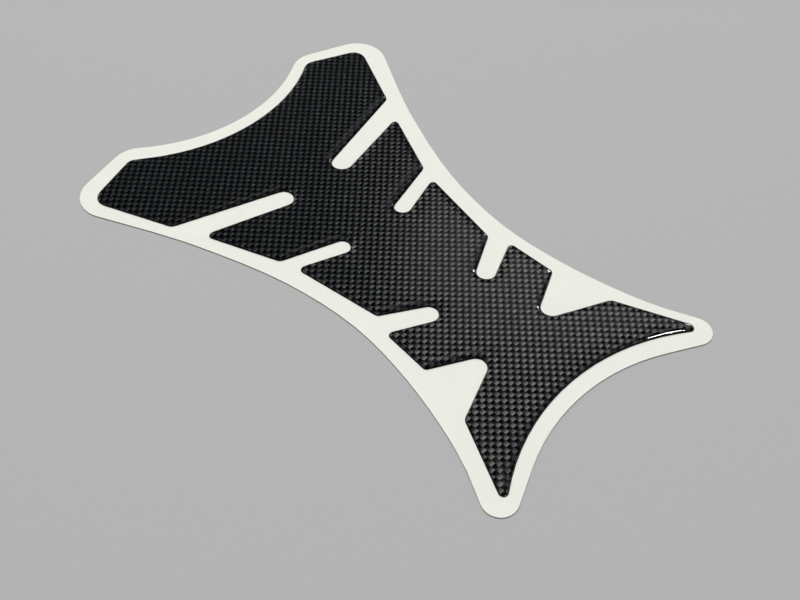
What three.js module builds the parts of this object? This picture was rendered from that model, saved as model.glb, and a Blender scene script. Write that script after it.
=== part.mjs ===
import * as THREE from 'three';

// A motorcycle tank pad as it is sold: a clear resin dome cast on a printed self-adhesive film,
// still on its release liner. Millimetres, +Z up. The liner lies on the ground with its axis of
// symmetry along Y, and the wide end of the pad points to +Y.

// The three layers, from the ground up.
const linerThickness = 0.2;
const filmThickness = 0.2;
const domeHeight = 1.6;

// The resin stops short of the film's cut edge, then rises to its full height over the shoulder.
// At the sharpest rounds it can take up no more than this share of the radius.
const rimSetback = 0.1;
const shoulderWidth = 1.2;
const shoulderShare = 0.9;

// The liner is cut this far outside the pad's ends, and a little further at the tips of the lobes.
// Its tails are rounded to a radius of their own, and the pad sits slightly turned on it.
const linerMargin = 6.2;
const lobeTipMargin = 7.3;
const linerTailRadius = 6.4;
const padTurnDegrees = 0.65;

// Arcs become chords that stray at most this far from the true curve.
const arcTolerance = 0.05;
const shoulderSteps = 4;
const flankSteps = 24;

// Overall sizes of the pad.
const padLength = 209.4;
const lobeWidth = 139.2;
const tailWidth = 101.6;

// The arcs of the pad's top and bottom edges are centred on its axis, this far from its middle.
const topArcHeight = 166.0;
const bottomArcHeight = -174.9;

// A round is a convex arc and a hollow is a concave one. Each has a centre and a radius.
const round = ({ x, y, radius }) => ({ x, y, radius });
const hollow = ({ x, y, radius }) => ({ x, y, radius: -radius });

// Rounds that reach the pad's top, its widest line or its bottom take their place from that.
const roundBelowTop = ({ x, radius }) => round({ x, y: padLength / 2 - radius, radius });
const roundInsideLobe = ({ y, radius }) => round({ x: lobeWidth / 2 - radius, y, radius });
const roundInTailCorner = ({ radius }) => round({ x: tailWidth / 2 - radius, y: radius - padLength / 2, radius });

// The pad's edge from its wide top down to its tails, right half. Straight edges join the arcs.
const lobeShoulder = roundBelowTop({ x: 47.6, radius: 5.2 });
const lobeTip = roundInsideLobe({ y: 92.7, radius: 5.6 });
const lobeHeel = round({ x: 54.3, y: 65.8, radius: 3.35 });
const upperSlotEnd = hollow({ x: 15.5, y: 46.0, radius: 4.1 });
const upperFingerTip = round({ x: 47.6, y: 48.6, radius: 1.8 });
const upperFingerHeel = round({ x: 35.9, y: 23.2, radius: 2.55 });
const middleSlotEnd = hollow({ x: 15.9, y: 10.8, radius: 3.25 });
const middleFingerTip = round({ x: 33.4, y: 11.5, radius: 1.8 });
const middleFingerHeel = round({ x: 27.3, y: -21.6, radius: 2.1 });
const lowerSlotEnd = hollow({ x: 15.0, y: -35.0, radius: 3.6 });
const lowerFingerTip = round({ x: 31.0, y: -33.3, radius: 1.6 });
const lowerFingerHeel = round({ x: 32.0, y: -50.9, radius: 1.5 });
const notchEnd = hollow({ x: 19.75, y: -63.1, radius: 3.9 });
const tailHeel = round({ x: 36.2, y: -77.6, radius: 2.9 });
const tailTip = roundInTailCorner({ radius: 1.8 });

// An arc about a point on the axis that runs straight into a round.
function axisArc(height, corner) {
  return hollow({ x: 0, y: height, radius: Math.hypot(corner.x, corner.y - height) - corner.radius });
}

const topEdge = axisArc(topArcHeight, lobeShoulder);
const bottomEdge = axisArc(bottomArcHeight, tailTip);

// The halfway corner of a tail's straight outer edge, where the liner's flank is set out too.
const tailMiddle = round({
  x: (tailHeel.x + tailTip.x) / 2,
  y: (tailHeel.y + tailTip.y) / 2,
  radius: (tailHeel.radius + tailTip.radius) / 2,
});

// The liner's flank is one smooth curve: bare liner left beside each of these corners.
const linerFlank = [
  { corner: lobeHeel, gap: 6.8 },
  { corner: upperFingerTip, gap: 7.0 },
  { corner: middleFingerTip, gap: 7.9 },
  { corner: middleFingerHeel, gap: 8.6 },
  { corner: lowerFingerHeel, gap: 6.8 },
  { corner: tailHeel, gap: 7.3 },
  { corner: tailMiddle, gap: 5.9 },
];

const padSide = [
  lobeShoulder,
  lobeTip,
  lobeHeel,
  upperSlotEnd,
  upperFingerTip,
  upperFingerHeel,
  middleSlotEnd,
  middleFingerTip,
  middleFingerHeel,
  lowerSlotEnd,
  lowerFingerTip,
  lowerFingerHeel,
  notchEnd,
  tailHeel,
  tailTip,
];

const fullTurn = 2 * Math.PI;
const padTurn = THREE.MathUtils.degToRad(padTurnDegrees);

// Both halves of an edge, anticlockwise from its top arc.
function mirroredEdge(top, side, bottom) {
  const leftSide = side.map((corner) => ({ ...corner, x: -corner.x }));
  return [top, ...leftSide, bottom, ...side.toReversed()];
}

// The same corner of an edge that runs parallel to the first, further out.
function grown(corner, distance) {
  return { ...corner, radius: corner.radius + distance };
}

// Direction of the straight edge that touches two neighbouring arcs. Arcs that touch each other
// have none between them, and the clamp keeps rounding from pushing their sine past 1.
function heading(corner, next) {
  const distance = Math.hypot(next.x - corner.x, next.y - corner.y);
  const direction = Math.atan2(next.y - corner.y, next.x - corner.x);
  const sine = THREE.MathUtils.clamp((next.radius - corner.radius) / distance, -1, 1);
  return direction - Math.asin(sine);
}

// How far an arc turns between two headings: left on a round, right on a hollow.
function arcTurn(corner, from, to) {
  const left = THREE.MathUtils.euclideanModulo(to - from, fullTurn);
  return corner.radius > 0 ? left : left - fullTurn;
}

// Points of one arc. The number of chords comes from the arc itself, so it is the same at any inset.
function arcPoints(corner, from, to, inset) {
  if (corner.radius === 0) {
    return [new THREE.Vector2(corner.x, corner.y)];
  }
  const turn = arcTurn(corner, from, to);
  const chordAngle = 2 * Math.acos(1 - arcTolerance / Math.abs(corner.radius));
  const chords = Math.max(1, Math.ceil(Math.abs(turn) / chordAngle));
  const radius = corner.radius - inset;
  return Array.from({ length: chords + 1 }, (_, step) => {
    const angle = from + (turn * step) / chords;
    return new THREE.Vector2(
      corner.x + radius * Math.sin(angle),
      corner.y - radius * Math.cos(angle),
    );
  });
}

// Points of a closed edge, moved inwards by the same distance all round.
function edgePoints(corners, inset = 0) {
  const headings = corners.map((corner, index) => heading(corner, corners[(index + 1) % corners.length]));
  return corners.flatMap((corner, index) => arcPoints(corner, headings.at(index - 1), headings[index], inset));
}

// The liner's corners: the pad's ends grown by the margin, with a smooth flank between them. The
// tail's round reaches as far sideways and down as the grown tail tip would.
function linerCorners() {
  const tailShift = tailTip.radius + linerMargin - linerTailRadius;
  const linerTail = round({
    x: tailTip.x + tailShift,
    y: tailTip.y - tailShift,
    radius: linerTailRadius,
  });
  const stations = linerFlank.map(
    ({ corner, gap }) => new THREE.Vector3(corner.x + corner.radius + gap, corner.y, 0),
  );
  const flank = new THREE.CatmullRomCurve3(stations, false, 'centripetal')
    .getPoints(flankSteps)
    .map((point) => round({ x: point.x, y: point.y, radius: 0 }));
  const side = [
    grown(lobeShoulder, linerMargin),
    grown(lobeTip, lobeTipMargin),
    ...flank,
    linerTail,
  ];
  return mirroredEdge(grown(topEdge, linerMargin), side, grown(bottomEdge, linerMargin));
}

// A flat sheet cut along an edge, with its underside at height 0.
function sheetGeometry(corners, thickness) {
  return new THREE.ExtrudeGeometry(new THREE.Shape(edgePoints(corners)), {
    depth: thickness,
    bevelEnabled: false,
  });
}

// A closed solid through rings of the same number of points, from the lowest to the highest.
function stackedGeometry(rings) {
  const count = rings[0].points.length;
  const positions = rings.flatMap(({ points, height }) => points.flatMap((point) => [point.x, point.y, height]));
  const faces = [];
  for (let ring = 0; ring < rings.length - 1; ring += 1) {
    for (let index = 0; index < count; index += 1) {
      const here = ring * count + index;
      const next = ring * count + ((index + 1) % count);
      faces.push(here, next, next + count);
      faces.push(here, next + count, here + count);
    }
  }
  const topRing = (rings.length - 1) * count;
  for (const [a, b, c] of THREE.ShapeUtils.triangulateShape(rings[0].points, [])) {
    faces.push(c, b, a);
  }
  for (const [a, b, c] of THREE.ShapeUtils.triangulateShape(rings.at(-1).points, [])) {
    faces.push(topRing + a, topRing + b, topRing + c);
  }
  const geometry = new THREE.BufferGeometry();
  geometry.setAttribute('position', new THREE.Float32BufferAttribute(positions, 3));
  geometry.setIndex(faces);
  const flatShaded = geometry.toNonIndexed();
  flatShaded.computeVertexNormals();
  return flatShaded;
}

// The resin rises steeply at its rim and rounds over to its flat top, as a quarter ellipse.
function domeGeometry(corners) {
  const sharpestRound = Math.min(...corners.map((corner) => corner.radius).filter((radius) => radius > 0));
  const shoulder = Math.min(shoulderWidth, shoulderShare * (sharpestRound - rimSetback));
  const rings = Array.from({ length: shoulderSteps + 1 }, (_, step) => {
    const angle = ((Math.PI / 2) * step) / shoulderSteps;
    return {
      points: edgePoints(corners, rimSetback + shoulder * (1 - Math.cos(angle))),
      height: domeHeight * Math.sin(angle),
    };
  });
  return stackedGeometry(rings);
}

function mesh(name, geometry, look) {
  const piece = new THREE.Mesh(geometry, new THREE.MeshStandardMaterial(look));
  piece.name = name;
  return piece;
}

const padCorners = mirroredEdge(topEdge, padSide, bottomEdge);

const liner = mesh('release_liner', sheetGeometry(linerCorners(), linerThickness), {
  color: 0xecece4,
  roughness: 0.6,
  metalness: 0,
});

const film = mesh('printed_film', sheetGeometry(padCorners, filmThickness), {
  color: 0x26262a,
  roughness: 0.5,
  metalness: 0,
});

const dome = mesh('resin_dome', domeGeometry(padCorners), {
  color: 0xdde2e6,
  roughness: 0.05,
  metalness: 0,
  transparent: true,
  opacity: 0.35,
});
dome.position.z = filmThickness;

const pad = new THREE.Group();
pad.add(film, dome);
pad.position.z = linerThickness;
pad.rotation.z = padTurn;

// The origin is the middle of the liner's underside.
liner.geometry.computeBoundingBox();
const linerMiddle = liner.geometry.boundingBox.getCenter(new THREE.Vector3());
const sheet = new THREE.Group();
sheet.add(liner, pad);
sheet.position.set(-linerMiddle.x, -linerMiddle.y, 0);

const group = new THREE.Group();
group.add(sheet);

export default group;
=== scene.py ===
"""A motorcycle tank pad: a printed carbon-weave film under a clear resin dome, on its release liner.

Lengths are in metres unless a name or a comment says otherwise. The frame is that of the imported
part: the liner lies on the ground with its axis along Y, and the pad's wide end points to +Y.
"""

import logging
import math
from dataclasses import dataclass, field
from enum import Enum

import bpy
import numpy as np
from mathutils import Matrix, Vector
from mathutils.geometry import delaunay_2d_cdt
from mathutils.kdtree import KDTree

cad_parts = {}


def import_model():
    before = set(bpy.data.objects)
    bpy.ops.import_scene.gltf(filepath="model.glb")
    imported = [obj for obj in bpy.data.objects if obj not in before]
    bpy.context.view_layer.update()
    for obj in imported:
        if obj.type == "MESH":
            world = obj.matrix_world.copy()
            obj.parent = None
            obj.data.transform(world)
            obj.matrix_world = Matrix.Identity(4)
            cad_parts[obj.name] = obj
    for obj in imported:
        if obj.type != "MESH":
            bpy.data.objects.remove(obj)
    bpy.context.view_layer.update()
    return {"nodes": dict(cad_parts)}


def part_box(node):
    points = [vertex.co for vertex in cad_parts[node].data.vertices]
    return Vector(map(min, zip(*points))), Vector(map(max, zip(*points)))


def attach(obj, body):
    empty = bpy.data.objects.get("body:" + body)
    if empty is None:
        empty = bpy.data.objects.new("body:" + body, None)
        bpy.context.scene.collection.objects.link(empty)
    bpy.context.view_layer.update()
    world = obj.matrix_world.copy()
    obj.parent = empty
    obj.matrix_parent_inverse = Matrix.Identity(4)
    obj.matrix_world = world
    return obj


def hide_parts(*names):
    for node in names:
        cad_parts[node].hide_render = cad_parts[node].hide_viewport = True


MM = 0.001
ROOT_BODY = "root"

# The layers from the ground up, and the pad's small turn on its liner.
LINER_THICKNESS = 0.2 * MM
FILM_THICKNESS = 0.2 * MM
FILM_TOP = LINER_THICKNESS + FILM_THICKNESS
PAD_TURN = math.radians(0.65)

BLACK = (0.0, 0.0, 0.0, 1.0)

# The height of a triangle with sides of 1, and the distance and the area that count as none.
TRIANGLE_HEIGHT = math.sqrt(0.75)
SAME_POINT = 1e-7
NO_AREA = 1e-12

log = logging.getLogger("tank_pad")


@dataclass(frozen=True)
class Step:
    """A smooth step: where it begins and ends, and its result before and after."""

    low: float
    high: float
    before: float = 0.0
    after: float = 1.0


class Shader:
    """The node tree of a material or world, with short calls for the nodes that fill it."""

    def __init__(self, tree: bpy.types.NodeTree) -> None:
        """Starts from an empty tree.

        Args:
            tree: The node tree to fill.
        """
        tree.nodes.clear()
        self.tree = tree

    @classmethod
    def of_material(cls, name: str) -> tuple["Shader", bpy.types.Material]:
        """Makes a new material.

        Args:
            name: Its name.

        Returns:
            The shader of its node tree, and the material.
        """
        material = bpy.data.materials.new(name)
        material.use_nodes = True
        return cls(material.node_tree), material

    def node(self, kind: str, inputs: dict | None = None, **settings: object) -> bpy.types.Node:
        """Adds one node.

        Args:
            kind: Blender's name for the type of node.
            inputs: A value or a socket to link for each input, by name or index.
            **settings: The node's own properties.

        Returns:
            The new node.
        """
        made = self.tree.nodes.new(kind)
        for name, value in settings.items():
            setattr(made, name, value)
        for name, value in (inputs or {}).items():
            if isinstance(value, bpy.types.NodeSocket):
                self.tree.links.new(value, made.inputs[name])
            else:
                made.inputs[name].default_value = value
        return made

    def math(self, operation: str, *values: object, clamp: bool = False) -> bpy.types.NodeSocket:
        """Adds a Math node over numbers or sockets and returns its result."""
        inputs = dict(enumerate(values))
        return self.node("ShaderNodeMath", inputs, operation=operation, use_clamp=clamp).outputs[0]

    def step(self, value: object, step: Step) -> bpy.types.NodeSocket:
        """Adds a smooth step over a value and returns its result."""
        inputs = {0: value, 1: step.low, 2: step.high, 3: step.before, 4: step.after}
        return self.node("ShaderNodeMapRange", inputs, interpolation_type="SMOOTHSTEP").outputs[0]

    def product(self, *factors: object) -> bpy.types.NodeSocket:
        """Multiplies numbers or sockets.

        Args:
            *factors: What to multiply.

        Returns:
            The product's socket.
        """
        result = factors[0]
        for factor in factors[1:]:
            result = self.math("MULTIPLY", result, factor)
        return result

    def mix(self, factor: object, first: object, second: object) -> bpy.types.NodeSocket:
        """Adds a mix of two numbers and returns its result."""
        return self.node("ShaderNodeMix", {0: factor, 2: first, 3: second}, data_type="FLOAT").outputs[0]

    def tint(self, factor: object, first: object, second: object) -> bpy.types.NodeSocket:
        """Adds a mix of two colours and returns its result."""
        inputs = {0: factor, 6: first, 7: second}
        return self.node("ShaderNodeMix", inputs, data_type="RGBA").outputs[2]

    def blend(self, factor: object, first: bpy.types.Node, second: bpy.types.Node) -> bpy.types.Node:
        """Adds a mix of two shaders and returns its node."""
        return self.node("ShaderNodeMixShader", {0: factor, 1: first.outputs[0], 2: second.outputs[0]})

    def noise(self, place: object, scale: float, detail: float = 2.0) -> bpy.types.NodeSocket:
        """Adds a noise of about 0 to 1 over a place and returns its value."""
        inputs = {"Vector": place, "Scale": scale, "Detail": detail}
        return self.node("ShaderNodeTexNoise", inputs).outputs[0]

    def place(self) -> bpy.types.NodeSocket:
        """Returns the shaded point in the part's frame, in metres."""
        return self.node("ShaderNodeTexCoord").outputs["Object"]

    def level(self) -> bpy.types.NodeSocket:
        """Returns 1 where the surface lies level and 0 where it stands upright like a wall."""
        normal = self.node("ShaderNodeNewGeometry").outputs["Normal"]
        return self.math("ABSOLUTE", self.node("ShaderNodeSeparateXYZ", {0: normal}).outputs[2])

    def surface(self, shader: bpy.types.NodeSocket) -> None:
        """Links a shader to the material's surface."""
        self.node("ShaderNodeOutputMaterial", {"Surface": shader})


@dataclass(frozen=True)
class Corner:
    """An arc of the pad's edge, in millimetres: a round has a radius above 0, a hollow below."""

    x: float
    y: float
    radius: float

    def mirrored(self) -> "Corner":
        """Returns the same corner on the other side of the axis."""
        return Corner(-self.x, self.y, self.radius)

    def heading_to(self, following: "Corner") -> float:
        """Finds the direction of the straight edge that touches this arc and the following one.

        Args:
            following: The next corner of the edge.

        Returns:
            The direction, in radians from +X.
        """
        run = following.x - self.x
        rise = following.y - self.y
        sine = (following.radius - self.radius) / math.hypot(run, rise)
        return math.atan2(rise, run) - math.asin(max(-1.0, min(1.0, sine)))


def axis_hollow(height: float, corner: Corner) -> Corner:
    """Returns the hollow about a point on the axis that runs straight into a round."""
    return Corner(0.0, height, corner.radius - math.hypot(corner.x, corner.y - height))


@dataclass(frozen=True)
class PadEdge:
    """The pad's outline, in millimetres about the pad's own middle."""

    length: float = 209.4
    lobe_width: float = 139.2
    tail_width: float = 101.6
    top_arc_height: float = 166.0
    bottom_arc_height: float = -174.9
    arc_tolerance: float = 0.004
    straight_step: float = 1.1

    def side(self) -> list[Corner]:
        """Lists the corners of the right half, from the wide top down to the tail.

        Returns:
            The corners.
        """
        return [
            Corner(47.6, self.length / 2 - 5.2, 5.2),
            Corner(self.lobe_width / 2 - 5.6, 92.7, 5.6),
            Corner(54.3, 65.8, 3.35),
            Corner(15.5, 46.0, -4.1),
            Corner(47.6, 48.6, 1.8),
            Corner(35.9, 23.2, 2.55),
            Corner(15.9, 10.8, -3.25),
            Corner(33.4, 11.5, 1.8),
            Corner(27.3, -21.6, 2.1),
            Corner(15.0, -35.0, -3.6),
            Corner(31.0, -33.3, 1.6),
            Corner(32.0, -50.9, 1.5),
            Corner(19.75, -63.1, -3.9),
            Corner(36.2, -77.6, 2.9),
            Corner(self.tail_width / 2 - 1.8, 1.8 - self.length / 2, 1.8),
        ]

    def corners(self) -> list[Corner]:
        """Lists every corner, anticlockwise from the top arc.

        Returns:
            The corners.
        """
        side = self.side()
        top = axis_hollow(self.top_arc_height, side[0])
        bottom = axis_hollow(self.bottom_arc_height, side[-1])
        return [top, *(corner.mirrored() for corner in side), bottom, *reversed(side)]

    def ring(self, inset: float) -> np.ndarray:
        """Sets out the outline, moved inwards by the same distance all round.

        Args:
            inset: How far to move it, in millimetres.

        Returns:
            Its points, as many at any inset.
        """
        corners = self.corners()
        pairs = list(zip(corners, corners[1:] + corners[:1]))
        headings = [corner.heading_to(after) for corner, after in pairs]
        gaps = [self._gap(corner, after) for corner, after in pairs]
        arcs = [
            self._arc(corner, headings[index - 1], headings[index], inset)
            for index, corner in enumerate(corners)
        ]
        pieces = []
        for index, arc in enumerate(arcs):
            start = arc[-1]
            end = arcs[(index + 1) % len(arcs)][0]
            steps = gaps[index]
            straight = [start + (end - start) * step / steps for step in range(1, steps)]
            pieces.append(arc)
            pieces.append(np.array(straight).reshape(-1, 2))
        return np.concatenate(pieces)

    def _arc(self, corner: Corner, start: float, end: float, inset: float) -> np.ndarray:
        """Sets out one arc between two headings.

        Args:
            corner: The arc's centre and signed radius.
            start: The heading of the edge before it.
            end: The heading of the edge after it.
            inset: How far the arc is moved inwards.

        Returns:
            Its points.
        """
        turn = (end - start) % math.tau
        if corner.radius < 0:
            turn -= math.tau
        chord = 2 * math.acos(1 - self.arc_tolerance / abs(corner.radius))
        steps = max(1, math.ceil(abs(turn) / chord))
        angles = start + turn * np.arange(steps + 1) / steps
        radius = corner.radius - inset
        return np.column_stack([corner.x + radius * np.sin(angles), corner.y - radius * np.cos(angles)])

    def _gap(self, corner: Corner, after: Corner) -> int:
        """Counts the steps along the straight edge between two neighbouring arcs.

        Args:
            corner: The arc before it.
            after: The arc after it.

        Returns:
            The number of steps.
        """
        between = math.hypot(after.x - corner.x, after.y - corner.y)
        straight = math.sqrt(max(0.0, between**2 - (after.radius - corner.radius) ** 2))
        return max(1, math.ceil(straight / self.straight_step))


@dataclass(frozen=True)
class Meniscus:
    """The rise of a puddle of resin from its rim, held by its surface tension. Millimetres."""

    full_height: float = 1.6
    contact_degrees: float = 88.0
    flattest_slope: float = 1e-4
    samples: int = 400

    @property
    def reach(self) -> float:
        """Returns the distance over which the rise dies away."""
        return self.full_height / (2 * math.sin(math.radians(self.contact_degrees) / 2))

    def height(self, distance: np.ndarray) -> np.ndarray:
        """Finds the resin's height at distances inside its rim.

        Args:
            distance: The distances from the rim.

        Returns:
            The heights there.
        """
        contact = math.radians(self.contact_degrees)
        slope = np.geomspace(contact, self.flattest_slope, self.samples)
        run = -np.log(np.tan(slope / 4)) - 2 * np.cos(slope / 2)
        rise = 2 * self.reach * (math.sin(contact / 2) - np.sin(slope / 2))
        return np.interp(distance, self.reach * (run - run[0]), rise)


@dataclass(frozen=True)
class ClearResin:
    """The finish of the dome: clear cast polyurethane with a wet gloss.

    Its steps run over how level the surface lies: 1 on the flat top, 0 on an upright wall.
    On the steep rim they paint shade: the glass darkens as seen, the light let through is darkened,
    and a dark diffuse stands in for the steepest wall.
    """

    tone: tuple[float, float, float, float] = (0.97, 0.98, 0.98, 1.0)
    index: float = 1.48
    roughness: float = 0.012
    # Painted shade on the steep rim: its dark colour, and the steps that lay it on as seen, on the light
    # let through, and where the dark diffuse replaces the glass.
    painted_shade_colour: tuple[float, float, float, float] = (0.004, 0.004, 0.005, 1.0)
    painted_shadow_on_film: Step = Step(0.52, 0.95, 0.03, 1.0)
    painted_shade_as_seen: Step = Step(0.42, 0.76, 0.02, 1.0)
    painted_shade_wall: Step = Step(0.4, 0.56, 1.0, 0.0)

    def material(self) -> bpy.types.Material:
        """Makes the resin, which bends what the eye sees but lets the studio's light straight in, with
        painted shade on its steep rim.

        Returns:
            The material.
        """
        shader, material = Shader.of_material("clear_resin")
        level = shader.level()
        # Painted shade: the glass's colour goes to black where the rim steepens, as the eye sees it.
        seen = shader.step(level, self.painted_shade_as_seen)
        glass = shader.node(
            "ShaderNodeBsdfPrincipled",
            {
                "Base Color": shader.tint(seen, BLACK, self.tone),
                "Roughness": self.roughness,
                "IOR": self.index,
                "Transmission Weight": 1.0,
            },
        )
        # Painted shadow: the light let straight in is darkened where it crosses the steep rim, so the film
        # beside the rim lies darker.
        light_past_painted_shadow = shader.step(level, self.painted_shadow_on_film)
        straight = shader.node("ShaderNodeBsdfTransparent", {0: shader.tint(light_past_painted_shadow, BLACK, self.tone)})
        # Painted shade: a dark diffuse stands in for the glass on the steepest part of the wall.
        painted_shade_bsdf = shader.node("ShaderNodeBsdfDiffuse", {"Color": self.painted_shade_colour})
        glass_or_painted_shade = shader.blend(shader.step(level, self.painted_shade_wall), glass, painted_shade_bsdf)
        path = shader.node("ShaderNodeLightPath").outputs
        light = shader.math("MAXIMUM", path["Is Shadow Ray"], path["Is Diffuse Ray"])
        light = shader.math("MAXIMUM", light, path["Is Glossy Ray"])
        shader.surface(shader.blend(light, glass_or_painted_shade, straight).outputs[0])
        return material


@dataclass(frozen=True)
class CarbonPrint:
    """The finish of the film: a plain weave of carbon tows printed in metallic ink.

    Its steps over a cell run from -0.5 to 0.5 along or across it.
    """

    tow_across: float = 1.754 * MM
    tow_along: float = 1.74 * MM
    phase: tuple[float, float] = (1.72, 0.125)
    bright: tuple[float, float, float, float] = (0.366, 0.366, 0.354, 1.0)
    dark: tuple[float, float, float, float] = (0.0012, 0.0016, 0.0025, 1.0)
    metallic: float = 0.925
    roughness: float = 0.16
    relief: float = 0.005 * MM
    crown: float = 0.35
    fibres_close: float = 5200.0
    fibres_long: float = 500.0
    lit_rise: Step = Step(-0.42, 0.5, 1.0, 0.22)
    lit_near_end: Step = Step(-0.5, -0.46, 0.4, 1.0)
    lit_far_end: Step = Step(0.3, 0.5, 1.0, 0.8)
    lit_edge: Step = Step(0.45, 0.5, 1.0, 0.6)
    lit_fibres: Step = Step(0.25, 0.75, 0.8, 1.16)
    shaded_fall: Step = Step(-0.5, 0.2, 1.0, 0.0)
    shaded_edge: Step = Step(0.44, 0.5, 1.0, 0.6)
    shaded_fibres: Step = Step(0.25, 0.75, 0.5, 1.5)
    shaded_level: float = 0.09
    on_top: Step = Step(0.4, 0.6, 1.0, 0.0)
    cell_chance: Step = Step(0.0, 1.0, 0.84, 1.14)
    broad_scale: float = 60.0
    broad_chance: Step = Step(0.3, 0.7, 0.94, 1.05)

    def material(self, middle: Vector) -> bpy.types.Material:
        """Makes the weave.

        Args:
            middle: The middle of the pad.

        Returns:
            The material.
        """
        shader, material = Shader.of_material("printed_vinyl")
        across, along, tow_x, tow_y = self._cells(shader, middle)
        lit = self._lit_tow(shader, across, along)
        shaded = self._shaded_tow(shader, along)
        checker = shader.math("MODULO", shader.math("ADD", tow_x, tow_y), 2.0)
        over = shader.step(shader.math("ABSOLUTE", checker), self.on_top)
        level = shader.mix(over, shaded, lit)
        cell = shader.node("ShaderNodeCombineXYZ", {0: tow_x, 1: tow_y}).outputs[0]
        chance = shader.node("ShaderNodeTexWhiteNoise", {0: cell}, noise_dimensions="2D").outputs[0]
        level = shader.product(level, shader.step(chance, self.cell_chance))
        broad = shader.noise(shader.place(), self.broad_scale)
        level = shader.math("MULTIPLY", level, shader.step(broad, self.broad_chance), clamp=True)
        colour = shader.tint(level, self.dark, self.bright)
        height = self._relief(shader, across, along, over)
        bump = shader.node("ShaderNodeBump", {"Strength": 1.0, "Distance": self.relief, "Height": height})
        ink = shader.node(
            "ShaderNodeBsdfPrincipled",
            {
                "Base Color": colour,
                "Metallic": self.metallic,
                "Roughness": self.roughness,
                "Specular IOR Level": 0.0,
                "Normal": bump.outputs[0],
            },
        )
        shader.surface(ink.outputs[0])
        return material

    def _cells(self, shader: Shader, middle: Vector) -> list[bpy.types.NodeSocket]:
        """Divides the pad into the weave's cells.

        Args:
            shader: The shader to add to.
            middle: The middle of the pad.

        Returns:
            The place across and along a cell, from -0.5 to 0.5, and the cell's column and row.
        """
        places = {0: shader.place(), 1: middle}
        centred = shader.node("ShaderNodeVectorMath", places, operation="SUBTRACT")
        straight = shader.node(
            "ShaderNodeMapping",
            {"Vector": centred.outputs[0], "Rotation": (0.0, 0.0, -PAD_TURN)},
        )
        axes = shader.node("ShaderNodeSeparateXYZ", {0: straight.outputs[0]}).outputs
        tows = [
            shader.math("MULTIPLY_ADD", axes[0], 1 / self.tow_across, self.phase[0]),
            shader.math("MULTIPLY_ADD", axes[1], 1 / self.tow_along, self.phase[1]),
        ]
        inside = [shader.math("SUBTRACT", shader.math("FRACT", tow), 0.5) for tow in tows]
        return inside + [shader.math("FLOOR", tow) for tow in tows]

    def _streaks(self, shader: Shader, over_x: float, over_y: float) -> bpy.types.NodeSocket:
        """Draws the fibres of a tow.

        Args:
            shader: The shader to add to.
            over_x: How fast they change along X, per metre.
            over_y: How fast they change along Y, per metre.

        Returns:
            A value of about 0 to 1.
        """
        scaled = {0: shader.place(), 1: (over_x, over_y, 1.0)}
        stretched = shader.node("ShaderNodeVectorMath", scaled, operation="MULTIPLY")
        return shader.noise(stretched.outputs[0], 1.0, 3.0)

    def _lit_tow(self, shader: Shader, across: object, along: object) -> bpy.types.NodeSocket:
        """Shades a tow that lies on top along Y: it brightens towards its near end.

        Args:
            shader: The shader to add to.
            across: The place across the cell.
            along: The place along the cell.

        Returns:
            Its level, 1 at the brightest.
        """
        rise = shader.step(along, self.lit_rise)
        near_end = shader.step(along, self.lit_near_end)
        far_end = shader.step(along, self.lit_far_end)
        edge = shader.step(shader.math("ABSOLUTE", across), self.lit_edge)
        fibres = shader.step(self._streaks(shader, self.fibres_close, self.fibres_long), self.lit_fibres)
        return shader.product(rise, near_end, far_end, edge, fibres)

    def _shaded_tow(self, shader: Shader, along: object) -> bpy.types.NodeSocket:
        """Shades a tow that lies on top along X: dark, and a little lighter at its near side.

        Args:
            shader: The shader to add to.
            along: The place along the cell.

        Returns:
            Its level, 0 at the darkest.
        """
        fall = shader.step(along, self.shaded_fall)
        edge = shader.step(shader.math("ABSOLUTE", along), self.shaded_edge)
        streaks = self._streaks(shader, self.fibres_long, self.fibres_close)
        fibres = shader.step(streaks, self.shaded_fibres)
        return shader.product(fall, edge, fibres, self.shaded_level)

    def _relief(
        self,
        shader: Shader,
        across: object,
        along: object,
        over: object,
    ) -> bpy.types.NodeSocket:
        """Models the height of the upper tow, arched along its length and rounded across it.

        Args:
            shader: The shader to add to.
            across: The place across the cell.
            along: The place along the cell.
            over: 1 where the tow along Y is on top.

        Returns:
            The height, from 0 to about 1.
        """
        arches = []
        for lengthwise, crosswise in ((across, along), (along, across)):
            arch = shader.math("COSINE", shader.math("MULTIPLY", lengthwise, math.pi))
            crown = shader.math("POWER", shader.math("MULTIPLY", crosswise, 2.0), 2.0)
            arches.append(shader.math("MULTIPLY_ADD", crown, -self.crown, arch))
        return shader.mix(over, arches[0], arches[1])


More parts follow.
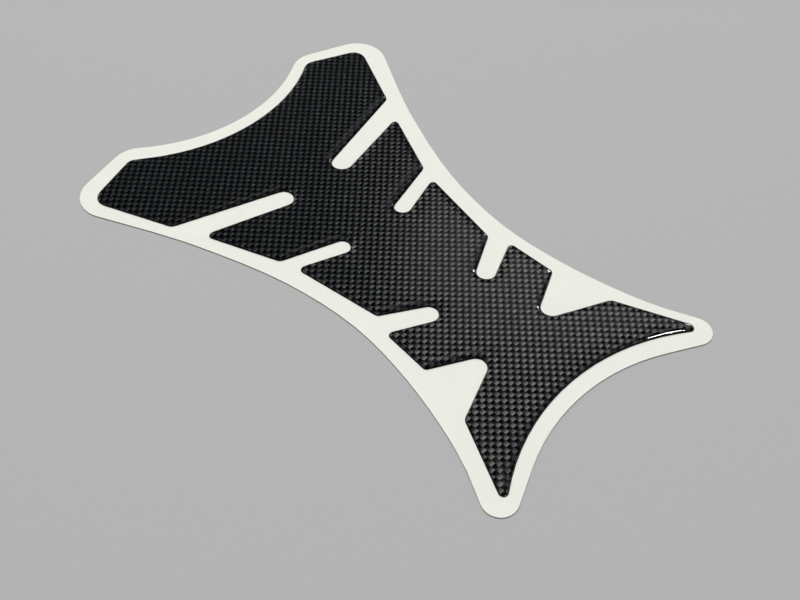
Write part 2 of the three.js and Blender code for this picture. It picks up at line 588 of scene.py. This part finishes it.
@dataclass(frozen=True)
class LinerPaper:
    """The finish of the liner: warm white coated paper with a silicone satin."""

    white: tuple[float, float, float, float] = (0.862, 0.87, 0.785, 1.0)
    cloudy: tuple[float, float, float, float] = (0.835, 0.846, 0.765, 1.0)
    # A painted shadow: the near-black colour of the upright cut edge.
    painted_edge_shadow: tuple[float, float, float, float] = (0.03, 0.03, 0.027, 1.0)
    relief: float = 0.012 * MM
    relief_strength: float = 0.6
    cloud_scale: float = 110.0
    cloud_share: float = 0.6
    fleck_scale: float = 1400.0
    fleck_share: float = 0.4
    grain_scale: float = 3200.0
    clouding: Step = Step(0.32, 0.68)
    sheen: Step = Step(0.3, 0.7, 0.41, 0.51)
    lying_flat: Step = Step(0.3, 0.7)

    def material(self) -> bpy.types.Material:
        """Makes the paper, clouded by its fibres, with a painted shadow on its cut edge.

        Returns:
            The material.
        """
        shader, material = Shader.of_material("liner_paper")
        place = shader.place()
        clouds = shader.product(shader.noise(place, self.cloud_scale, 3.0), self.cloud_share)
        fine = shader.noise(place, self.fleck_scale, 3.0)
        flecks = shader.math("MULTIPLY_ADD", fine, self.fleck_share, clouds)
        colour = shader.tint(shader.step(flecks, self.clouding), self.cloudy, self.white)
        # Painted shadow: upright faces, the paper's cut edge, are darkened to stand in for the shadow
        # under it.
        colour = shader.tint(shader.step(shader.level(), self.lying_flat), self.painted_edge_shadow, colour)
        grain = {
            "Strength": self.relief_strength,
            "Distance": self.relief,
            "Height": shader.noise(place, self.grain_scale, 4.0),
        }
        bump = shader.node("ShaderNodeBump", grain)
        paper = shader.node(
            "ShaderNodeBsdfPrincipled",
            {
                "Base Color": colour,
                "Roughness": shader.step(flecks, self.sheen),
                "Normal": bump.outputs[0],
            },
        )
        shader.surface(paper.outputs[0])
        return material


@dataclass(frozen=True)
class StudioSurface:
    """The finish of the studio's floor and wall: plain pale board."""

    pale: tuple[float, float, float, float] = (0.47, 0.47, 0.462, 1.0)
    roughness: float = 0.7
    grain_scale: float = 900.0
    grain_shade: Step = Step(0.3, 0.7, 0.965, 1.0)

    def material(self) -> bpy.types.Material:
        """Makes the board.

        Returns:
            The material.
        """
        shader, material = Shader.of_material("studio_board")
        grain = shader.noise(shader.place(), self.grain_scale, 3.0)
        shade = shader.tint(shader.step(grain, self.grain_shade), BLACK, self.pale)
        board = shader.node("ShaderNodeBsdfPrincipled", {"Base Color": shade, "Roughness": self.roughness})
        shader.surface(board.outputs[0])
        return material


def new_object(name: str, mesh: bpy.types.Mesh) -> bpy.types.Object:
    """Puts a mesh into the scene.

    Args:
        name: The object's name.
        mesh: Its mesh.

    Returns:
        The object.
    """
    made = bpy.data.objects.new(name, mesh)
    bpy.context.scene.collection.objects.link(made)
    return made


def dress(piece: bpy.types.Object, material: bpy.types.Material) -> None:
    """Gives every material slot of an object the same finish.

    Args:
        piece: The object.
        material: The finish.
    """
    if not piece.data.materials:
        piece.data.materials.append(material)
    for slot in piece.material_slots:
        slot.material = material


def spread_inside(
    ring: np.ndarray,
    spacing: float,
    nearest: float,
    furthest: float,
    ring_step: float = 0.1,
) -> np.ndarray:
    """Spreads points on an even triangular grid over a belt inside a closed ring.

    Args:
        ring: The ring's points, in order.
        spacing: The distance between neighbouring points.
        nearest: How close to the ring the belt comes.
        furthest: How far from the ring the belt reaches.
        ring_step: How finely the ring is sampled to measure the distance to it.

    Returns:
        The points.
    """
    after = np.roll(ring, -1, axis=0)
    steps = np.maximum(1, np.ceil(np.hypot(*(after - ring).T) / ring_step)).astype(int)
    dense = np.concatenate([
        start + (end - start) * np.arange(count)[:, None] / count
        for start, end, count in zip(ring, after, steps)
    ])
    tree = KDTree(len(dense))
    for index, (across, along) in enumerate(dense):
        tree.insert((across, along, 0.0), index)
    tree.balance()
    points = []
    rows = np.arange(ring[:, 1].min(), ring[:, 1].max(), spacing * TRIANGLE_HEIGHT)
    for row, along in enumerate(rows):
        crossed = (ring[:, 1] > along) != (after[:, 1] > along)
        start, end = ring[crossed], after[crossed]
        share = (along - start[:, 1]) / (end[:, 1] - start[:, 1])
        crossings = np.sort(start[:, 0] + share * (end[:, 0] - start[:, 0]))
        shift = spacing / 2 if row % 2 else 0.0
        columns = np.arange(ring[:, 0].min() + shift, ring[:, 0].max(), spacing)
        for across in columns[np.searchsorted(crossings, columns) % 2 == 1]:
            if nearest < tree.find((across, along, 0.0))[2] <= furthest:
                points.append((across, along))
    return np.array(points)


def cross(first: np.ndarray, second: np.ndarray) -> np.ndarray:
    """Returns twice the signed areas of the triangles between pairs of flat vectors."""
    return first[:, 0] * second[:, 1] - first[:, 1] * second[:, 0]


@dataclass(frozen=True)
class FlatMesh:
    """A flat triangle mesh: its points, its triangles and how many points its first ring has."""

    points: np.ndarray
    triangles: np.ndarray
    ring_count: int


def solve_rise(mesh: FlatMesh, reach: float, rounds: int = 500, settled: float = 1e-14) -> np.ndarray:
    """Finds how fully the resin has risen at each point of a flat mesh.

    It is 0 on the rim, tends to 1 inside, and smooths over narrow places as the resin's skin does.

    Args:
        mesh: The mesh, whose first ring is the rim.
        reach: The distance over which the rise dies away.
        rounds: The most steps that the solver takes.
        settled: The share of its first error at which it stops.

    Returns:
        The rise, from 0 to 1.
    """
    points, triangles = mesh.points, mesh.triangles
    corners = points[triangles]
    area = np.zeros(len(points))
    across = cross(corners[:, 1] - corners[:, 0], corners[:, 2] - corners[:, 0])
    np.add.at(area, triangles.ravel(), np.repeat(np.abs(across) / 6, 3))
    firsts, seconds, weights = [], [], []
    for turn in range(3):
        tip, left, right = (triangles[:, (turn + shift) % 3] for shift in range(3))
        to_left = points[left] - points[tip]
        to_right = points[right] - points[tip]
        cotangent = (to_left * to_right).sum(1) / np.maximum(np.abs(across), NO_AREA)
        firsts.append(left)
        seconds.append(right)
        weights.append(cotangent / 2)
    first, second, weight = (np.concatenate(parts) for parts in (firsts, seconds, weights))
    count = len(points)
    both = np.bincount(first, weight, count) + np.bincount(second, weight, count)
    diagonal = both + area / reach**2
    free = np.ones(count)
    free[: mesh.ring_count] = 0

    def pull(values: np.ndarray) -> np.ndarray:
        """Finds the skin's pull on each free point.

        Args:
            values: The rise at each point.

        Returns:
            The pull, 0 on the rim.
        """
        spread = np.bincount(first, weight * values[second], count)
        spread += np.bincount(second, weight * values[first], count)
        return free * (diagonal * values - spread)

    rise = np.zeros(count)
    residual = free * area / reach**2
    scaled = residual / diagonal
    direction = scaled.copy()
    energy = residual @ scaled
    target = energy * settled
    for _ in range(rounds):
        pulled = pull(direction)
        share = energy / (direction @ pulled)
        rise += share * direction
        residual -= share * pulled
        scaled = residual / diagonal
        renewed = residual @ scaled
        if renewed < target:
            break
        direction = scaled + (renewed / energy) * direction
        energy = renewed
    return rise


def triangulate(points: np.ndarray, ring_count: int) -> np.ndarray:
    """Fills a closed ring with triangles.

    Args:
        points: The ring's points in order, then any points inside it.
        ring_count: How many points the ring has.

    Returns:
        The triangles, anticlockwise.
    """
    edges = [(index, (index + 1) % ring_count) for index in range(ring_count)]
    places = [Vector(point) for point in points]
    _, _, faces, origins, _, _ = delaunay_2d_cdt(places, edges, [], 1, SAME_POINT)
    source = [origin[0] for origin in origins]
    triangles = np.array([[source[corner] for corner in face] for face in faces if len(face) == 3])
    corners = points[triangles]
    turned = cross(corners[:, 1] - corners[:, 0], corners[:, 2] - corners[:, 0]) < 0
    triangles[turned] = triangles[turned][:, ::-1]
    return triangles


@dataclass(frozen=True)
class ResinDome:
    """The clear resin cast on the film: steep at its rim, flat over the middle.

    The insets are where its rings lie inside the rim. A belt is the spacing of its points, where it
    begins and where it ends inside the last ring. Both are in millimetres, as the rim setback and
    the ripple are.
    """

    edge: PadEdge = field(default_factory=PadEdge)
    meniscus: Meniscus = field(default_factory=Meniscus)
    finish: ClearResin = field(default_factory=ClearResin)
    rim_setback: float = 0.1
    insets: tuple[float, ...] = (
        0,
        0.013,
        0.033,
        0.06,
        0.09,
        0.133,
        0.19,
        0.256,
        0.34,
        0.44,
        0.56,
        0.71,
        0.88,
        1.08,
        1.28,
    )
    belts: tuple[tuple[float, float, float], ...] = (
        (0.3, 0.18, 2.0),
        (0.6, 2.0, 6.0),
        (1.3, 6.0, math.inf),
    )
    sunk: float = 0.02 * MM
    ripple: float = 0.006
    ripple_waves: tuple[tuple[float, float, float], ...] = (
        (0.21, 0.13, 0.4),
        (-0.12, 0.27, 1.9),
        (0.33, -0.08, 3.1),
    )
    least_left: float = 1e-6
    sharp_from: float = math.radians(55.0)

    def build(self) -> bpy.types.Object:
        """Builds the dome about the film's middle, as one closed mesh.

        Returns:
            The dome, in place of the plain solid.
        """
        flat = self._flat_mesh()
        rise = solve_rise(flat, self.meniscus.reach)
        inside = -self.meniscus.reach * np.log(np.maximum(1 - rise, self.least_left))
        height = self.meniscus.height(inside) - self._ripples(flat.points) * rise**2
        count = flat.ring_count
        rim = flat.points[:count]
        top = np.column_stack([flat.points * MM, FILM_TOP + height * MM])
        foot = np.column_stack([rim * MM, np.full(count, FILM_TOP - self.sunk)])
        base = len(top)
        index = np.arange(count)
        after = (index + 1) % count
        wall = np.concatenate([
            np.column_stack([base + index, base + after, after]),
            np.column_stack([base + index, after, index]),
        ])
        bottom = triangulate(rim, count)[:, ::-1] + base
        mesh = bpy.data.meshes.new("resin_dome_cast")
        faces = np.concatenate([flat.triangles, wall, bottom])
        mesh.from_pydata(np.concatenate([top, foot]).tolist(), [], faces.tolist())
        mesh.transform(self._seat())
        mesh.shade_smooth()
        mesh.set_sharp_from_angle(angle=self.sharp_from)
        dome = new_object("resin_dome_cast", mesh)
        dress(dome, self.finish.material())
        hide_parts("resin_dome")
        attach(dome, ROOT_BODY)
        return dome

    def middle(self) -> Vector:
        """Finds the pad's own middle, from where its film lies.

        Returns:
            Its place in the part's frame.
        """
        low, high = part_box("printed_film")
        turned = self.edge.ring(0.0) @ np.array(Matrix.Rotation(PAD_TURN, 2)).T * MM
        offset = (turned.min(0) + turned.max(0)) / 2
        return (low + high) / 2 - Vector((offset[0], offset[1], (low.z + high.z) / 2))

    def _seat(self) -> Matrix:
        """Returns the move from the pad's own frame into the part's."""
        return Matrix.Translation(self.middle()) @ Matrix.Rotation(PAD_TURN, 4, "Z")

    def _ripples(self, points: np.ndarray) -> np.ndarray:
        """Finds the slight unevenness that a cured resin keeps.

        Args:
            points: Points of the pad, seen from above.

        Returns:
            How far it lies below its top there, in millimetres.
        """
        total = sum(
            np.sin(points @ np.array([across, along]) + start)
            for across, along, start in self.ripple_waves
        )
        return self.ripple * (1 + total / len(self.ripple_waves))

    def _flat_mesh(self) -> FlatMesh:
        """Sets out the dome from above: rings beside the rim, then even triangles inside them.

        Returns:
            The flat mesh, in millimetres.
        """
        rings = [self.edge.ring(self.rim_setback + inset) for inset in self.insets]
        count = len(rings[0])
        index = np.arange(count)
        after = (index + 1) % count
        quads = []
        for ring in range(len(rings) - 1):
            outer, inner = ring * count, (ring + 1) * count
            quads.append(np.column_stack([outer + index, outer + after, inner + after]))
            quads.append(np.column_stack([outer + index, inner + after, inner + index]))
        last = rings[-1]
        filling = np.concatenate([spread_inside(last, *belt) for belt in self.belts])
        inner_points = np.concatenate([last, filling])
        inner_faces = triangulate(inner_points, count) + (len(rings) - 1) * count
        points = np.concatenate([*rings, filling])
        return FlatMesh(points, np.concatenate([*quads, inner_faces]), count)


@dataclass(frozen=True)
class PrintedFilm:
    """The vinyl film under the resin, whose solid stays as it is."""

    finish: CarbonPrint = field(default_factory=CarbonPrint)

    def build(self, film: bpy.types.Object, middle: Vector) -> None:
        """Prints the weave on the film, set out from the pad's middle."""
        dress(film, self.finish.material(middle))


@dataclass(frozen=True)
class ReleaseLiner:
    """The liner that the pad is still stuck to, whose solid stays as it is."""

    finish: LinerPaper = field(default_factory=LinerPaper)

    def build(self, liner: bpy.types.Object) -> None:
        """Covers the liner in its paper."""
        dress(liner, self.finish.material())


def towards(azimuth: float, elevation: float) -> Vector:
    """Finds the unit vector at a compass direction and a height.

    Args:
        azimuth: The compass direction, in degrees from +X towards +Y.
        elevation: The height, in degrees.

    Returns:
        The vector.
    """
    across = math.cos(math.radians(elevation))
    turn = math.radians(azimuth)
    return Vector((across * math.cos(turn), across * math.sin(turn), math.sin(math.radians(elevation))))


class Reach(Enum):
    """What a lamp lights: surfaces only, or reflections only."""

    SURFACES = "surfaces"
    REFLECTIONS = "reflections"


@dataclass(frozen=True)
class Lamp:
    """A rectangular lamp that faces its aim from a compass direction and a height in degrees."""

    name: str
    azimuth: float
    elevation: float
    distance: float
    width: float
    height: float
    watts: float
    reach: Reach
    aim: tuple[float, float, float] = (0.0, 0.0, 0.0)

    def build(self) -> bpy.types.Object:
        """Hangs the lamp.

        Returns:
            The lamp.
        """
        light = bpy.data.lights.new(self.name, "AREA")
        light.shape = "RECTANGLE"
        light.size = self.width
        light.size_y = self.height
        light.energy = self.watts
        lamp = bpy.data.objects.new(self.name, light)
        direction = towards(self.azimuth, self.elevation)
        lamp.location = Vector(self.aim) + direction * self.distance
        lamp.rotation_euler = (-direction).to_track_quat("-Z", "Y").to_euler()
        lamp.visible_camera = False
        lamp.visible_diffuse = self.reach is not Reach.REFLECTIONS
        lamp.visible_glossy = self.reach is not Reach.SURFACES
        lamp.visible_transmission = False
        bpy.context.scene.collection.objects.link(lamp)
        return lamp


@dataclass(frozen=True)
class Glow:
    """A bright region of the room with soft bounds, seen mirrored in the resin.

    A side is a compass direction, a height and a step over the cosine of the angle to it. A level is
    a step over the sine of the height.
    """

    colour: tuple[float, float, float, float]
    sides: tuple[tuple[float, float, Step], ...]
    levels: tuple[Step, ...] = ()

    def coverage(self, shader: Shader, direction: bpy.types.NodeSocket) -> bpy.types.NodeSocket:
        """Measures how far a direction lies in the region.

        Args:
            shader: The shader to add to.
            direction: The direction's socket.

        Returns:
            1 inside it and 0 outside.
        """
        height = shader.node("ShaderNodeSeparateXYZ", {0: direction}).outputs[2]
        parts = []
        for azimuth, elevation, step in self.sides:
            inputs = {0: direction, 1: towards(azimuth, elevation)}
            angle = shader.node("ShaderNodeVectorMath", inputs, operation="DOT_PRODUCT")
            parts.append(shader.step(angle.outputs["Value"], step))
        parts.extend(shader.step(height, step) for step in self.levels)
        return shader.product(*parts)


@dataclass(frozen=True)
class Studio:
    """A pale floor with a low curved wall, soft lamps and a dim room with a few bright regions."""

    floor_radius: float = 1.2
    cove_radius: float = 0.25
    wall_height: float = 0.36
    below: float = 0.2 * MM
    floor_rings: int = 5
    cove_rings: int = 12
    spokes: int = 96
    finish: StudioSurface = field(default_factory=StudioSurface)
    backdrop: tuple[float, float, float, float] = (0.4, 0.4, 0.39, 1.0)
    dim: tuple[float, float, float, float] = (0.02, 0.026, 0.034, 1.0)
    far_wall: Glow = Glow(
        colour=(0.3, 0.31, 0.32, 1.0),
        sides=((-140.0, 0.0, Step(-0.15, 0.35)),),
        levels=(Step(0.3, 0.62, 1.0, 0.0),),
    )
    bright_side: Glow = Glow(
        colour=(0.42, 0.43, 0.445, 1.0),
        sides=((-46.0, 0.0, Step(-0.05, 0.05)), (10.0, 35.0, Step(0.3, 0.7))),
        levels=(Step(0.6, 0.76), Step(0.715, 0.81, 1.0, 0.0)),
    )
    panel: Glow = Glow(
        colour=(0.52, 0.53, 0.5, 1.0),
        sides=((-43.5, 0.0, Step(-0.02, 0.02)), (60.0, 0.0, Step(-0.02, 0.06))),
        levels=(Step(0.852, 0.879), Step(0.905, 0.945, 1.0, 0.6)),
    )
    window_glow: Glow = Glow(
        colour=(0.5, 0.53, 0.65, 1.0),
        sides=((8.0, 32.0, Step(0.96, 0.992)),),
    )
    lamps: tuple[Lamp, ...] = (
        Lamp(
            name="key_softbox",
            azimuth=55.0,
            elevation=60.0,
            distance=2.5,
            width=1.6,
            height=1.6,
            watts=54.5,
            reach=Reach.SURFACES,
        ),
        Lamp(
            name="fill_softbox",
            azimuth=235.0,
            elevation=65.0,
            distance=2.5,
            width=1.8,
            height=1.8,
            watts=19.5,
            reach=Reach.SURFACES,
        ),
        Lamp(
            name="strip_lamp",
            azimuth=-88.0,
            elevation=47.0,
            distance=0.3,
            width=0.036,
            height=0.2,
            watts=1.6,
            reach=Reach.REFLECTIONS,
            aim=(0.047, -0.1, 0.0),
        ),
        Lamp(
            name="window",
            azimuth=7.0,
            elevation=25.0,
            distance=1.2,
            width=0.15,
            height=0.2,
            watts=2.4,
            reach=Reach.REFLECTIONS,
        ),
    )

    def build(self) -> None:
        """Sets up the floor and the room."""
        floor = new_object("studio_floor", self._floor_mesh())
        dress(floor, self.finish.material())
        floor.visible_glossy = False
        self._room()

    def light(self, glossy: bpy.types.Object) -> None:
        """Hangs the lamps, of which those for reflections shine on one piece only.

        Args:
            glossy: The piece that reflects them.
        """
        mirrors = bpy.data.collections.new("mirrors")
        mirrors.objects.link(glossy)
        for lamp in self.lamps:
            hung = lamp.build()
            if lamp.reach is Reach.REFLECTIONS:
                hung.light_linking.receiver_collection = mirrors

    def _floor_mesh(self) -> bpy.types.Mesh:
        """Turns the floor, its cove and the wall as one sheet.

        Returns:
            The mesh.
        """
        profile = [
            (self.floor_radius * (ring / self.floor_rings), 0.0)
            for ring in range(1, self.floor_rings + 1)
        ]
        for ring in range(1, self.cove_rings + 1):
            angle = math.radians(90.0 * ring / self.cove_rings)
            profile.append((
                self.floor_radius + self.cove_radius * math.sin(angle),
                self.cove_radius * (1 - math.cos(angle)),
            ))
        profile.append((self.floor_radius + self.cove_radius, self.wall_height))
        vertices = [(0.0, 0.0, -self.below)]
        for radius, height in profile:
            for spoke in range(self.spokes):
                angle = math.tau * spoke / self.spokes
                vertices.append((
                    radius * math.cos(angle),
                    radius * math.sin(angle),
                    height - self.below,
                ))
        faces = [(0, 1 + spoke, 1 + (spoke + 1) % self.spokes) for spoke in range(self.spokes)]
        for ring in range(len(profile) - 1):
            for spoke in range(self.spokes):
                here = 1 + ring * self.spokes + spoke
                beside = 1 + ring * self.spokes + (spoke + 1) % self.spokes
                faces.append((here, here + self.spokes, beside + self.spokes, beside))
        mesh = bpy.data.meshes.new("studio_floor")
        mesh.from_pydata(vertices, [], faces)
        mesh.shade_smooth()
        return mesh

    def _room(self) -> None:
        """Lights the room: dim, with its bright regions, and a plain backdrop for the camera."""
        world = bpy.data.worlds.new("studio_room")
        bpy.context.scene.world = world
        world.use_nodes = True
        shader = Shader(world.node_tree)
        direction = shader.node("ShaderNodeTexCoord").outputs["Generated"]
        colour = self.dim
        for glow in (self.far_wall, self.bright_side, self.panel, self.window_glow):
            colour = shader.tint(glow.coverage(shader, direction), colour, glow.colour)
        seen = shader.node("ShaderNodeLightPath").outputs["Is Camera Ray"]
        colour = shader.tint(seen, colour, self.backdrop)
        background = shader.node("ShaderNodeBackground", {"Color": colour, "Strength": 1.0})
        shader.node("ShaderNodeOutputWorld", {"Surface": background.outputs[0]})


@dataclass(frozen=True)
class PhotoCamera:
    """A camera where the photograph was taken from."""

    place: tuple[float, float, float] = (-0.19486, -0.20503, 0.29867)
    target: tuple[float, float, float] = (-0.01764, -0.02325, 0.0004)
    roll: float = math.radians(1.592)
    lens: float = 48.5
    sensor: float = 36.0
    nearest: float = 0.01
    furthest: float = 20.0

    def build(self) -> bpy.types.Object:
        """Sets up the camera.

        Returns:
            The camera.
        """
        data = bpy.data.cameras.new("photo_camera")
        data.lens = self.lens
        data.sensor_width = self.sensor
        data.clip_start = self.nearest
        data.clip_end = self.furthest
        camera = bpy.data.objects.new("photo_camera", data)
        view = Vector(self.target) - Vector(self.place)
        turn = view.to_track_quat("-Z", "Y").to_matrix().to_4x4() @ Matrix.Rotation(self.roll, 4, "Z")
        camera.matrix_world = Matrix.Translation(self.place) @ turn
        bpy.context.scene.collection.objects.link(camera)
        bpy.context.scene.camera = camera
        return camera


def main() -> None:
    """Builds the pad, its studio and the camera."""
    logging.basicConfig(level=logging.INFO, format="%(name)s: %(message)s")
    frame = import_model()
    bpy.context.scene.view_settings.view_transform = "Standard"
    PhotoCamera().build()
    studio = Studio()
    studio.build()
    log.info("studio floor and room set up")
    ReleaseLiner().build(frame["nodes"]["release_liner"])
    log.info("release liner dressed")
    dome = ResinDome()
    PrintedFilm().build(frame["nodes"]["printed_film"], dome.middle())
    log.info("film printed")
    cast = dome.build()
    log.info("resin dome cast, %d triangles", len(cast.data.polygons))
    studio.light(cast)
    log.info("lamps hung")


if __name__ == "__main__":
    main()
